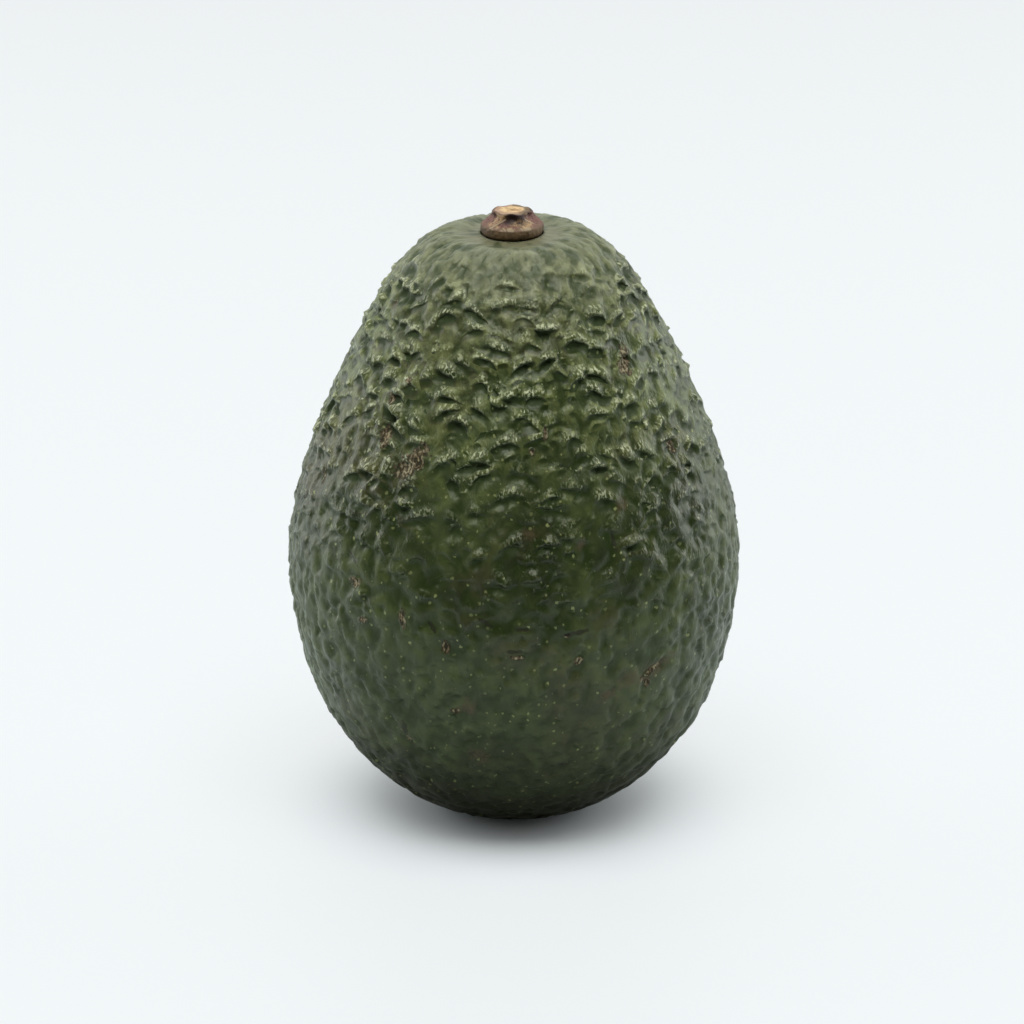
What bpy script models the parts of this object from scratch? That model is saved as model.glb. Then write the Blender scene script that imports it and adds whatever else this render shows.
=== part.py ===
"""A whole ripe avocado standing on its blossom end: a pebbled fruit and the woody stem button on its crown.

Metres, +Z up. The fruit stands on z = 0, and its box is centred on x = y = 0. It is an outline turned about the
stem axis, with a rind raised into pebbles that are strongest on the shoulders, and a neck that leans a little.
"""

import math

import bmesh
import bpy
import numpy as np
from mathutils import Matrix, Vector

MM = 0.001

# Outline of the fruit's body, radius and height, from the edge of the foot to the edge of the crown.
OUTLINE_MM = [
    (8.0, 0.0),
    (14.8, 2.1),
    (21.0, 6.1),
    (27.0, 12.7),
    (31.9, 22.0),
    (34.6, 33.5),
    (34.9, 45.0),
    (32.1, 57.0),
    (27.3, 69.5),
    (22.3, 79.8),
    (17.8, 87.1),
    (13.6, 91.4),
    (9.0, 93.9),
]
CROWN_TOP = 94.6 * MM  # height that the crown would reach without its dimple
DIMPLE = 0.55 * MM  # how far the crown sinks in round the stem
STEM_BASE = CROWN_TOP - DIMPLE
STEPS_PER_SPAN = 24

# Pebbled rind.
PEBBLE_SPACING = 2.75 * MM  # the least distance between the tops of two pebbles
PEBBLE_DROPS = 30000  # places tried, enough to fill the rind
PEBBLE_RISE = 0.46 * MM
VALLEY_DEPTH = 0.40 * MM
RIND_SEED = 11
UNEVENNESS = 0.25  # share by which the rise of one pebble or the depth of one valley differs from the rest
VALLEY_SPACING = 0.55 * MM  # valley corners closer than this become one
EDGE_SHARE = 0.0035  # share of the skin that pebbles keep clear beside the foot and the collar
LOWEST_PEBBLE = 0.15 * MM  # pebbles beside the foot stay this far above what the fruit stands on
SHARP_ANGLE = math.radians(12.0)

# Crown: a collar round the stem with furrows that run outwards, and a shallow seat for the stem button.
GAP = 0.30 * MM  # between the stem button and its seat
STEM_RADIUS = 4.80 * MM  # the button at its widest
STEM_SUNK = 0.50 * MM  # how deep its base lies in the seat
STEM_TILT_BACK = math.radians(2.5)  # the button stands a little straighter than the crown under it
SEAT_RADIUS = STEM_RADIUS + GAP
SEAT_TAPER = 0.12 * MM
SEAT_DEPTH = STEM_SUNK + STEM_RADIUS * math.sin(STEM_TILT_BACK) + GAP
FURROWS = 24
FURROW_RINGS_MM = [  # radius, and half the furrow's depth
    (13.0, 0.26),
    (10.6, 0.22),
    (8.2, 0.14),
    (6.2, 0.05),
]

# Foot: the small flat spot that the fruit stands on.
FOOT_RADIUS = 8.0 * MM
FOOT_SIDES = 28

# The neck leans a little to one side, so the stem button is a few degrees off upright.
LEAN_FORWARD = math.radians(5.0)
LEAN_LEFT = math.radians(0.3)
LEAN_PIVOT = 30.0 * MM

# Stem button: a flared woody base, a short ribbed neck and a cut face.
STEM_SIDES = 40
STEM_RIBS = 6
STEM_RINGS_MM = [  # height above the button's base, radius, depth of the ribs
    (0.00, 4.45, 0.00),
    (0.40, 4.65, 0.00),
    (0.85, 4.72, 0.03),
    (1.45, 4.65, 0.05),
    (1.70, 4.45, 0.10),
    (2.00, 3.98, 0.22),
    (2.40, 3.60, 0.32),
    (2.90, 3.25, 0.36),
    (3.35, 3.12, 0.28),
    (3.65, 3.20, 0.16),
    (3.88, 3.15, 0.12),
    (3.92, 2.80, 0.10),
    (3.86, 1.40, 0.00),
    (3.80, 0.45, 0.00),
]
CUT_CENTRE_MM = 3.74


def clear_scene():
    for obj in list(bpy.data.objects):
        bpy.data.objects.remove(obj)


def material(name, colour, roughness):
    made = bpy.data.materials.new(name)
    made.use_nodes = True
    shader = made.node_tree.nodes["Principled BSDF"]
    shader.inputs["Base Color"].default_value = (*colour, 1.0)
    shader.inputs["Roughness"].default_value = roughness
    shader.inputs["Metallic"].default_value = 0.0
    return made


def smooth_step(low, high, value):
    t = np.clip((value - low) / (high - low), 0.0, 1.0)
    return t * t * (3.0 - 2.0 * t)


def smooth_curve(points, steps):
    """A Catmull-Rom curve through the points, with its ends mirrored outwards."""
    points = np.array(points, float)
    padded = np.vstack([2 * points[0] - points[1], points, 2 * points[-1] - points[-2]])
    t = np.linspace(0.0, 1.0, steps, endpoint=False)[:, None]
    spans = []
    for before, start, end, after in zip(padded, padded[1:], padded[2:], padded[3:]):
        spans.append(
            0.5
            * (
                2 * start
                + (end - before) * t
                + (2 * before - 5 * start + 4 * end - after) * t**2
                + (3 * start - before - 3 * end + after) * t**3
            )
        )
    return np.vstack([*spans, points[-1:]])


def turned_ring(radius, height, turn):
    return np.stack([radius * np.cos(turn), radius * np.sin(turn), height + 0.0 * turn], axis=-1)


class Body:
    """The smooth body of revolution, measured by the share of its skin that lies below each height."""

    def __init__(self):
        flank = smooth_curve(OUTLINE_MM, STEPS_PER_SPAN) * MM
        foot = np.stack([np.linspace(0, FOOT_RADIUS, 12, endpoint=False), np.zeros(12)], axis=1)
        crown_r = np.linspace(flank[-1, 0], 0.0, 20)[1:]
        drop = (CROWN_TOP - flank[-1, 1]) * (crown_r / flank[-1, 0]) ** 2
        drop += DIMPLE * smooth_step(flank[-1, 0], SEAT_RADIUS, crown_r)
        crown = np.stack([crown_r, CROWN_TOP - drop], axis=1)
        line = np.vstack([foot, flank, crown])
        self.radius, self.height = line.T
        step = np.diff(line, axis=0)
        length = np.hypot(*step.T)
        middle = (self.radius[1:] + self.radius[:-1]) / 2
        area = np.concatenate([[0.0], np.cumsum(2 * math.pi * middle * length)])
        self.sphere_radius = math.sqrt(area[-1] / (4 * math.pi))  # of a ball with as much skin
        self.share = area / area[-1]
        tangent = np.gradient(line, axis=0)
        tangent /= np.linalg.norm(tangent, axis=1)[:, None]
        self.normal_r, self.normal_z = tangent[:, 1], -tangent[:, 0]

    def at(self, share):
        """Radius, height and outward normal where this share of the skin lies below."""
        line = (self.radius, self.height, self.normal_r, self.normal_z)
        return [np.interp(share, self.share, values) for values in line]

    def share_at_radius(self, radius, above_belly):
        """The share below the ring of this radius, on the upper or the lower half."""
        belly = int(np.argmax(self.radius))
        half = slice(belly, None) if above_belly else slice(belly, None, -1)
        return float(np.interp(-radius, -self.radius[half], self.share[half]))

    def furrowed_ring(self, radius, rise, turn):
        """Points of a ring on the upper half that stands up and down by rise, once in each furrow."""
        share = self.share_at_radius(radius, above_belly=True)
        _, height, normal_r, normal_z = self.at(share)
        offset = rise * np.cos(FURROWS * turn)
        return turned_ring(radius + offset * normal_r, height + offset * normal_z, turn)


def sphere_points(share, turn):
    """Points of a unit sphere that stand for the same share of skin and the same turn about the axis."""
    height = 2.0 * share - 1.0 + 0.0 * turn
    ring = np.sqrt(np.maximum(0.0, 1.0 - height**2))
    return np.stack([ring * np.cos(turn), ring * np.sin(turn), height], axis=-1)


def hull_triangles(points):
    """The triangles that join points of a unit sphere, as vertex numbers, anticlockwise from outside."""
    mesh = bmesh.new()
    for number, point in enumerate(points):
        mesh.verts.new(point).index = number
    bmesh.ops.convex_hull(mesh, input=mesh.verts)
    mesh.verts.index_update()
    bmesh.ops.triangulate(mesh, faces=mesh.faces)
    triangles = np.array([[v.index for v in face.verts] for face in mesh.faces])
    mesh.free()
    a, b, c = (points[triangles[:, k]] for k in range(3))
    inward = np.einsum("ij,ij->i", np.cross(b - a, c - a), a) < 0
    triangles[inward] = triangles[inward][:, ::-1]
    return triangles


def spaced_out(points, distance):
    """Goes through points of a unit sphere in order, and keeps each one clear of those kept before."""
    nearest = 1.0 - distance**2 / 2  # cosine of the angle between two points that far apart
    kept = points[:1]
    for point in points[1:]:
        if (kept @ point).max() < nearest:
            kept = np.vstack([kept, point])
    return kept


def pebble_crowns(low_share, high_share, distance, random):
    """Sphere points for the tops of the pebbles, dropped at random until the rind is full."""
    share = random.uniform(low_share, high_share, PEBBLE_DROPS)
    turn = random.uniform(0, 2 * math.pi, PEBBLE_DROPS)
    return spaced_out(sphere_points(share, turn), distance)


def valley_corners(points, low_share, high_share, distance):
    """Sphere points where three pebbles meet: the middles of the circles through neighbouring points."""
    triangles = hull_triangles(points)
    a, b, c = (points[triangles[:, k]] for k in range(3))
    middle = np.cross(b - a, c - a)
    middle /= np.linalg.norm(middle, axis=1)[:, None]
    share = (middle[:, 2] + 1.0) / 2.0
    return spaced_out(middle[(share > low_share) & (share < high_share)], distance)


def relief_strength(height, turn):
    """How far the rind stands up, from 0 to 1: full on the shoulders, low near the stem and lower down."""
    rise = 0.42 + 0.58 * smooth_step(28 * MM, 50 * MM, height)
    rise *= 1.0 - 0.45 * smooth_step(82 * MM, 93 * MM, height)
    rise *= 1.0 - 0.55 * smooth_step(9 * MM, 0.5 * MM, height)
    patches = 0.5 + 0.5 * np.sin(2 * turn + 0.8 + height * 60) * np.sin(3 * turn - 1.1 - height * 85)
    return rise * (0.78 + 0.30 * patches)


def lean(points):
    """Turns the neck of the fruit forwards and to the left, more the higher it lies."""
    leaned = []
    for point in points:
        share = float(smooth_step(0.0, CROWN_TOP, point[2]))
        turn = Matrix.Rotation(LEAN_FORWARD * share, 3, "X") @ Matrix.Rotation(-LEAN_LEFT * share, 3, "Y")
        pivot = Vector((0, 0, LEAN_PIVOT))
        leaned.append(pivot + turn @ (Vector(point) - pivot))
    return leaned


def ring_faces(outer, inner, sides):
    """Faces between two rings of vertex numbers, seen from the side that the rings run anticlockwise on."""
    return [
        (outer + side, outer + (side + 1) % sides, inner + (side + 1) % sides, inner + side)
        for side in range(sides)
    ]


def pebbled_rind(body, random):
    """Points and triangles of the rind between the foot's edge and the collar's edge, its first points."""
    collar_radius, collar_rise = (value * MM for value in FURROW_RINGS_MM[0])
    low = body.share_at_radius(FOOT_RADIUS, above_belly=False)
    high = body.share_at_radius(collar_radius, above_belly=True)
    foot_turn = np.arange(FOOT_SIDES) * 2 * math.pi / FOOT_SIDES
    collar_turn = np.arange(2 * FURROWS) * math.pi / FURROWS
    edges = np.vstack([sphere_points(low, foot_turn), sphere_points(high, collar_turn)])
    placed = [turned_ring(FOOT_RADIUS, 0.0, foot_turn)]
    placed.append(body.furrowed_ring(collar_radius, collar_rise, collar_turn))

    edge = EDGE_SHARE
    crowns = pebble_crowns(low + edge, high - edge, PEBBLE_SPACING / body.sphere_radius, random)
    corners = np.vstack([edges, crowns])
    valleys = valley_corners(corners, low + edge / 2, high - edge / 2, VALLEY_SPACING / body.sphere_radius)
    for points, step in ((crowns, PEBBLE_RISE), (valleys, -VALLEY_DEPTH)):
        turn = np.arctan2(points[:, 1], points[:, 0])
        radius, height, normal_r, normal_z = body.at((points[:, 2] + 1) / 2)
        offset = step * relief_strength(height, turn) * (1 + UNEVENNESS * random.uniform(-1, 1, len(points)))
        radius = radius + offset * normal_r
        placed.append(turned_ring(radius, np.maximum(height + offset * normal_z, LOWEST_PEBBLE), turn))

    triangles = hull_triangles(np.vstack([edges, crowns, valleys]))
    flat_end = (triangles < len(edges)).all(axis=1)
    return np.vstack(placed), triangles[~flat_end]


def mesh_object(name, points, faces, made_of):
    mesh = bpy.data.meshes.new(name)
    mesh.from_pydata(points, [], faces)
    mesh.materials.append(made_of)
    mesh.shade_smooth()
    mesh.set_sharp_from_angle(angle=SHARP_ANGLE)
    mesh.update()
    obj = bpy.data.objects.new(name, mesh)
    bpy.context.scene.collection.objects.link(obj)
    return obj


def build_fruit(body):
    random = np.random.default_rng(RIND_SEED)
    points, triangles = pebbled_rind(body, random)
    points, faces = [tuple(p) for p in points], [tuple(int(i) for i in t) for t in triangles]

    foot_centre = len(points)
    points.append((0.0, 0.0, 0.0))
    faces += [((side + 1) % FOOT_SIDES, side, foot_centre) for side in range(FOOT_SIDES)]

    collar_sides = 2 * FURROWS
    collar_turn = np.arange(collar_sides) * math.pi / FURROWS
    rings = []
    for radius_mm, rise_mm in FURROW_RINGS_MM[1:]:
        rings.append(body.furrowed_ring(radius_mm * MM, rise_mm * MM, collar_turn))
    rings.append(turned_ring(SEAT_RADIUS, STEM_BASE, collar_turn))
    rings.append(turned_ring(SEAT_RADIUS - SEAT_TAPER, STEM_BASE - SEAT_DEPTH, collar_turn))
    outer = FOOT_SIDES
    for ring in rings:
        inner = len(points)
        points += [tuple(point) for point in ring]
        faces += ring_faces(outer, inner, collar_sides)
        outer = inner
    seat_centre = len(points)
    points.append((0.0, 0.0, STEM_BASE - SEAT_DEPTH))
    faces += [(outer + side, outer + (side + 1) % collar_sides, seat_centre) for side in range(collar_sides)]

    rind = material("avocado_rind", (0.045, 0.062, 0.022), 0.42)
    return mesh_object("fruit", lean(points), faces, rind)


def build_stem():
    """A turned and ribbed woody button, standing in the seat with its cut face up."""
    turn = np.arange(STEM_SIDES) * 2 * math.pi / STEM_SIDES
    points, faces = [], []
    rib = np.cos(STEM_RIBS * turn) + 0.35 * np.cos(5 * turn - 0.7) + 0.25 * np.cos(11 * turn)
    bottom = STEM_BASE - STEM_SUNK
    for height_mm, radius_mm, rib_mm in STEM_RINGS_MM:
        ring = turned_ring((radius_mm + rib_mm * rib) * MM, bottom + height_mm * MM, turn)
        points += [tuple(point) for point in ring]
    for ring in range(len(STEM_RINGS_MM) - 1):
        faces += ring_faces(ring * STEM_SIDES, (ring + 1) * STEM_SIDES, STEM_SIDES)
    faces.append(tuple(reversed(range(STEM_SIDES))))
    top = (len(STEM_RINGS_MM) - 1) * STEM_SIDES
    points.append((0.0, 0.0, bottom + CUT_CENTRE_MM * MM))
    for side in range(STEM_SIDES):
        faces.append((top + side, top + (side + 1) % STEM_SIDES, len(points) - 1))
    base = Matrix.Translation((0.0, 0.0, STEM_BASE))
    straighten = base @ Matrix.Rotation(-STEM_TILT_BACK, 4, "X") @ base.inverted()
    points = [straighten @ Vector(point) for point in points]
    wood = material("stem_wood", (0.22, 0.13, 0.06), 0.75)
    return mesh_object("stem_button", lean(points), faces, wood)


def centre_on_origin(objects):
    """Moves the fruit's box onto the origin in x and y, and writes the move into the meshes."""
    corners = np.array([v.co for obj in objects for v in obj.data.vertices])
    middle = (corners.min(axis=0) + corners.max(axis=0)) / 2
    for obj in objects:
        obj.data.transform(Matrix.Translation((-middle[0], -middle[1], 0.0)))


clear_scene()
fruit_body = Body()
centre_on_origin([build_fruit(fruit_body), build_stem()])
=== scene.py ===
"""The finish of a whole ripe avocado on a pale table: its pebbled rind, corky marks and woody stem button."""

import math
import bmesh
import bpy
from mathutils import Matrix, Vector


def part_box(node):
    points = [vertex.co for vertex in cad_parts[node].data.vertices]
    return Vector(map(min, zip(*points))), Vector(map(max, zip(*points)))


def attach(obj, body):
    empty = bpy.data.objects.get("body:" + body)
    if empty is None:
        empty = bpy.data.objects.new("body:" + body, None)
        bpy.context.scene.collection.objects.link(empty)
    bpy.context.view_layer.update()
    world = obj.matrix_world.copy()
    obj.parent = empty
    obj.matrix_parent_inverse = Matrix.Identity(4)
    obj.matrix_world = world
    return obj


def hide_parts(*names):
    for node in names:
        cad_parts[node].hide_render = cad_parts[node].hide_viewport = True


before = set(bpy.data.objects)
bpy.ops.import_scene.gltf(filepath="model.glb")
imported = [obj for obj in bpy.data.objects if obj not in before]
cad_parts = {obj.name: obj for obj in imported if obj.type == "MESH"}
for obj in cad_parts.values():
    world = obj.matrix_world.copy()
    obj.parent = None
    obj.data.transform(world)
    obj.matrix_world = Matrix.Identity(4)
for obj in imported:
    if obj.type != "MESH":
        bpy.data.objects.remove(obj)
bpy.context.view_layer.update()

MM = 0.001


# ---- Rind --------------------------------------------------------------------------------------------
# The skin of the fruit is a tough, waxy, dark green rind that grew as one with the flesh. It stands up in
# overhanging scales on the shoulders, sinks to shallow dimples below the belly, and runs out into fine
# wrinkles round the stem.

RIND_SUBDIVISIONS = 2
PAIRED_BELOW = 24 * MM  # the smooth lower end needs fewer faces
BODY_BLUR = 6  # blur passes that take the pebbles off the solid
RIND_ROUNDING = 4  # blur passes that smooth the subdivided body
PEBBLE_GAIN = 0.45  # how much of the solid's pebbles stays
SCALE_WIDTH = 4.4 * MM  # each scale rises down the flank to a lip, and a pocket lies under the lip
SCALE_DROP = 3.8 * MM
SCALE_HEIGHT = 0.72 * MM
SCALE_SAG = 0.40  # how far a lip overhangs, as a share of its height
SMALL_WIDTH = 2.6 * MM  # small lips and pockets between them, and alone down to the foot
SMALL_DROP = 2.2 * MM
SMALL_HEIGHT = 0.24 * MM
KNOB_HEIGHT = 0.5 * MM  # crumbly knobs along the lips
FINE_SHARE = 0.42  # how much of the lips and pockets the mesh is too coarse to show
DIMPLE_SIZE = 2.1 * MM  # low bumps and hollows everywhere
DIMPLE_DEPTH = 0.30 * MM
BOWL_SIZE = 3.1 * MM  # shallow bowls side by side, whose meeting rims make a net
BOWL_DEPTH = 0.56 * MM
FURROW_DEPTH = 0.11 * MM  # the wrinkles that run out from the stem
FURROW_REACH = 15 * MM
CROWN_RIDGES = 0.13 * MM
CROWN_SWELL = 0.45 * MM  # the crown stands up a little round the stem
SEAT_CLOSING = 0.58 * MM  # how far the rind hugs the stem button
COLLAR_DROP = 0.40 * MM  # how far the rind sinks beside the stem button
RELIEF_FROM = 34 * MM  # height that the scales start to rise from
RIND_SEED = 3.0

# How many to the metre.
SUNNY_SIDES = 34.0
PATCHES = 70.0
UNEVEN_PLACES = 75.0
MOTTLES = 430.0
CROWN_LINES = 800.0
PORES = 800.0
KNOBS = 850.0
RAGS = 1000.0
GRAINS = 2700.0

RIND_DARK = (0.017, 0.025, 0.006)
RIND_GREEN = (0.048, 0.064, 0.019)
# Greyer below the belly: partly the rind's own tone, partly a painted haze of the pale table reflected there.
GREY_AND_PAINTED_HAZE = (0.056, 0.076, 0.026)
RIND_YELLOW = (0.078, 0.092, 0.018)
# Painted shade for the pockets under the lips, the dimples, the hollows of the bowls and the furrows by the
# stem.
PAINTED_HOLLOW_SHADE = (0.013, 0.027, 0.002)
PAINTED_SLOPE_SHEEN = (0.134, 0.164, 0.060)  # painted sheen of the overhead light on the slopes of the upper half
# Painted glints on the lips of the scales and on the ridges by the stem.
PAINTED_GLINT_PALE = (0.46, 0.49, 0.30)
RIND_BROWN = (0.052, 0.043, 0.019)
# Painted sheen of the overhead light on the crown.
PAINTED_CROWN_SHEEN = (0.152, 0.166, 0.094)
CROWN_BROWN = (0.130, 0.100, 0.060)
DOT_PALE = (0.21, 0.235, 0.09)
# Painted shade towards the foot.
PAINTED_FOOT_SHADE = (0.009, 0.010, 0.001)


class Tree:
    """Adds nodes to a node tree. An input is given by number or name, as a socket or a plain value."""

    def __init__(self, tree):
        self.tree = tree

    def node(self, kind, inputs=None, **settings):
        made = self.tree.nodes.new(kind)
        for name, value in settings.items():
            setattr(made, name, value)
        for key, value in (inputs or {}).items():
            if isinstance(value, bpy.types.NodeSocket):
                self.tree.links.new(value, made.inputs[key])
            else:
                made.inputs[key].default_value = value
        return made

    def math(self, operation, *values):
        return self.node("ShaderNodeMath", dict(enumerate(values)), operation=operation).outputs[0]

    def vector(self, operation, *values):
        made = self.node("ShaderNodeVectorMath", dict(enumerate(values)), operation=operation)
        return made.outputs["Value" if operation in ("DOT_PRODUCT", "LENGTH", "DISTANCE") else "Vector"]

    def scaled(self, vector, factor):
        return self.node("ShaderNodeVectorMath", {0: vector, "Scale": factor}, operation="SCALE").outputs[0]

    def ramp(self, value, low, high, to_low=0.0, to_high=1.0):
        """Runs from to_low to to_high, smoothly, as value runs from low to high."""
        inputs = {0: value, 1: low, 2: high, 3: to_low, 4: to_high}
        return self.node("ShaderNodeMapRange", inputs, interpolation_type="SMOOTHSTEP").outputs[0]

    def noise(self, vector, scale, detail=2.0, roughness=0.5):
        inputs = {"Vector": vector, "Scale": scale, "Detail": detail, "Roughness": roughness}
        return self.node("ShaderNodeTexNoise", inputs).outputs[0]

    def mix(self, factor, low, high, blend="MIX"):
        made = self.node("ShaderNodeMix", data_type="RGBA", blend_type=blend)
        for key, value in ((0, factor), (6, low), (7, high)):
            if isinstance(value, bpy.types.NodeSocket):
                self.tree.links.new(value, made.inputs[key])
            else:
                made.inputs[key].default_value = (*value, 1.0) if isinstance(value, tuple) else value
        return made.outputs[2]

    def store(self, geometry, name, value, kind="FLOAT"):
        inputs = {"Geometry": geometry, "Name": name, "Value": value}
        return self.node("GeometryNodeStoreNamedAttribute", inputs, data_type=kind).outputs[0]

    def end(self, geometry, material):
        """Shades the mesh smoothly, gives it its material and makes it the result of a geometry tree."""
        geometry = self.node("GeometryNodeSetShadeSmooth", {"Geometry": geometry}).outputs[0]
        inputs = {"Geometry": geometry, "Material": material}
        geometry = self.node("GeometryNodeSetMaterial", inputs).outputs[0]
        geometry = self.node("GeometryNodeRealizeInstances", {"Geometry": geometry}).outputs[0]
        self.node("NodeGroupOutput", {"Geometry": geometry})


def merged_copy(name, node):
    """A copy of a CAD node's mesh as an object of its own, with the corners of its triangles merged."""
    built = bmesh.new()
    built.from_mesh(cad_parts[node].data)
    bmesh.ops.remove_doubles(built, verts=built.verts, dist=0.002 * MM)
    mesh = bpy.data.meshes.new(name)
    built.to_mesh(mesh)
    built.free()
    mesh.materials.clear()
    piece = bpy.data.objects.new(name, mesh)
    bpy.context.scene.collection.objects.link(piece)
    return piece


def pair_triangles(piece, height):
    """Joins a piece's triangles two by two, wherever they lie below a height."""
    built = bmesh.new()
    built.from_mesh(piece.data)
    low = [face for face in built.faces if face.calc_center_median().z < height]
    limits = {"angle_face_threshold": math.radians(40), "angle_shape_threshold": math.radians(60)}
    bmesh.ops.join_triangles(built, faces=low, **limits)
    built.to_mesh(piece.data)
    built.free()


def geometry_tree(name, inputs):
    """A geometry node tree with named inputs, and the identifier of each input."""
    tree = bpy.data.node_groups.new(name, "GeometryNodeTree")
    sockets = {}
    for kind, labels in {"Geometry": ("Geometry",), **inputs}.items():
        for label in labels:
            made = tree.interface.new_socket(label, in_out="INPUT", socket_type="NodeSocket" + kind)
            sockets[label] = made.identifier
    tree.interface.new_socket("Geometry", in_out="OUTPUT", socket_type="NodeSocketGeometry")
    return Tree(tree), sockets


def apply_nodes(piece, tree, values):
    """Runs a geometry node tree on a piece and leaves its result as a plain mesh."""
    modifier = piece.modifiers.new(tree.name, "NODES")
    modifier.node_group = tree
    for identifier, value in values.items():
        modifier[identifier] = value
    bpy.context.view_layer.update()
    graph = bpy.context.evaluated_depsgraph_get()
    mesh = bpy.data.meshes.new_from_object(piece.evaluated_get(graph), depsgraph=graph)
    piece.modifiers.clear()
    spent = piece.data
    piece.data = mesh
    bpy.data.meshes.remove(spent)
    mesh.name = piece.name


def new_material(name):
    """A material with no nodes yet, and the tree that they go into."""
    made = bpy.data.materials.new(name)
    made.use_nodes = True
    made.node_tree.nodes.clear()
    return made, Tree(made.node_tree)


def stem_seat():
    """Where the stem button grows from the crown."""
    low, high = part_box("stem_button")
    return Vector(((low.x + high.x) / 2, (low.y + high.y) / 2, low.z))


def scale_spots(t, place, width, drop, key):
    """Places counted in scales, bent a little so that no row runs straight, and another way for each key."""
    size = t.node("ShaderNodeCombineXYZ", {0: width, 1: width, 2: drop}).outputs[0]
    spot = t.vector("DIVIDE", place, size)
    warp = t.node("ShaderNodeTexNoise", {"Vector": spot, "Scale": 0.65, "Detail": 1.0}).outputs["Color"]
    return t.vector("ADD", spot, t.scaled(t.vector("SUBTRACT", warp, (0.5 - key, 0.5 + key, 0.5)), 1.2))


def scale_height(t, spot, outward, width, drop):
    """Height of a scale, from -0.8 in the pocket under its lip to 1 on the lip, and 0 between scales."""
    rise = t.node("ShaderNodeSeparateXYZ", {0: outward}).outputs[2]
    down = t.vector("NORMALIZE", t.vector("SUBTRACT", t.scaled(outward, rise), (0.0, 0.0, 1.0)))
    side = t.vector("NORMALIZE", t.vector("CROSS_PRODUCT", outward, (0.0, 0.0, 1.0)))
    size = t.node("ShaderNodeCombineXYZ", {0: width, 1: width, 2: drop}).outputs[0]
    cell = t.node("ShaderNodeTexVoronoi", {"Vector": spot, "Scale": 1.0, "Randomness": 1.0})
    from_seed = t.vector("MULTIPLY", t.vector("SUBTRACT", spot, cell.outputs["Position"]), size)
    along = t.math("DIVIDE", t.vector("DOT_PRODUCT", from_seed, down), drop)
    beside = t.math("DIVIDE", t.vector("DOT_PRODUCT", from_seed, side), width)
    own = t.node("ShaderNodeSeparateXYZ", {0: cell.outputs["Color"]}).outputs
    bend = t.math("MULTIPLY", t.ramp(own[1], 0.0, 1.0, 0.3, 1.6), t.math("MULTIPLY", beside, beside))
    tilt = t.math("MULTIPLY_ADD", t.math("SUBTRACT", own[2], 0.5), t.math("MULTIPLY", beside, 1.1), bend)
    along = t.math("SUBTRACT", along, tilt)
    height = t.ramp(along, -0.50, -0.10)
    height = t.math("MULTIPLY_ADD", t.ramp(along, -0.09, 0.08), -1.8, height)
    height = t.math("MULTIPLY_ADD", t.ramp(along, 0.10, 0.54), 0.8, height)
    height = t.math("MULTIPLY", height, t.ramp(t.math("ABSOLUTE", beside), 0.02, 0.50, 1.0, 0.0))
    return t.math("MULTIPLY", height, t.ramp(own[0], 0.0, 1.0, 0.30, 1.25))


def stem_wrinkles(t, from_seat):
    """Ridges and furrows that run out from the stem, as a height from -1 to 1."""
    split = t.node("ShaderNodeSeparateXYZ", {0: from_seat}).outputs
    flat = t.node("ShaderNodeCombineXYZ", {0: split[0], 1: split[1]}).outputs[0]
    run = t.node("ShaderNodeCombineXYZ", {2: t.math("MULTIPLY", t.vector("LENGTH", flat), 90.0)}).outputs[0]
    ring = t.scaled(t.vector("NORMALIZE", flat), 6.5)
    wave = t.noise(t.vector("ADD", ring, run), 1.0, detail=2.0, roughness=0.6)
    return t.ramp(wave, 0.34, 0.66, -1.0, 1.0)


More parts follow.
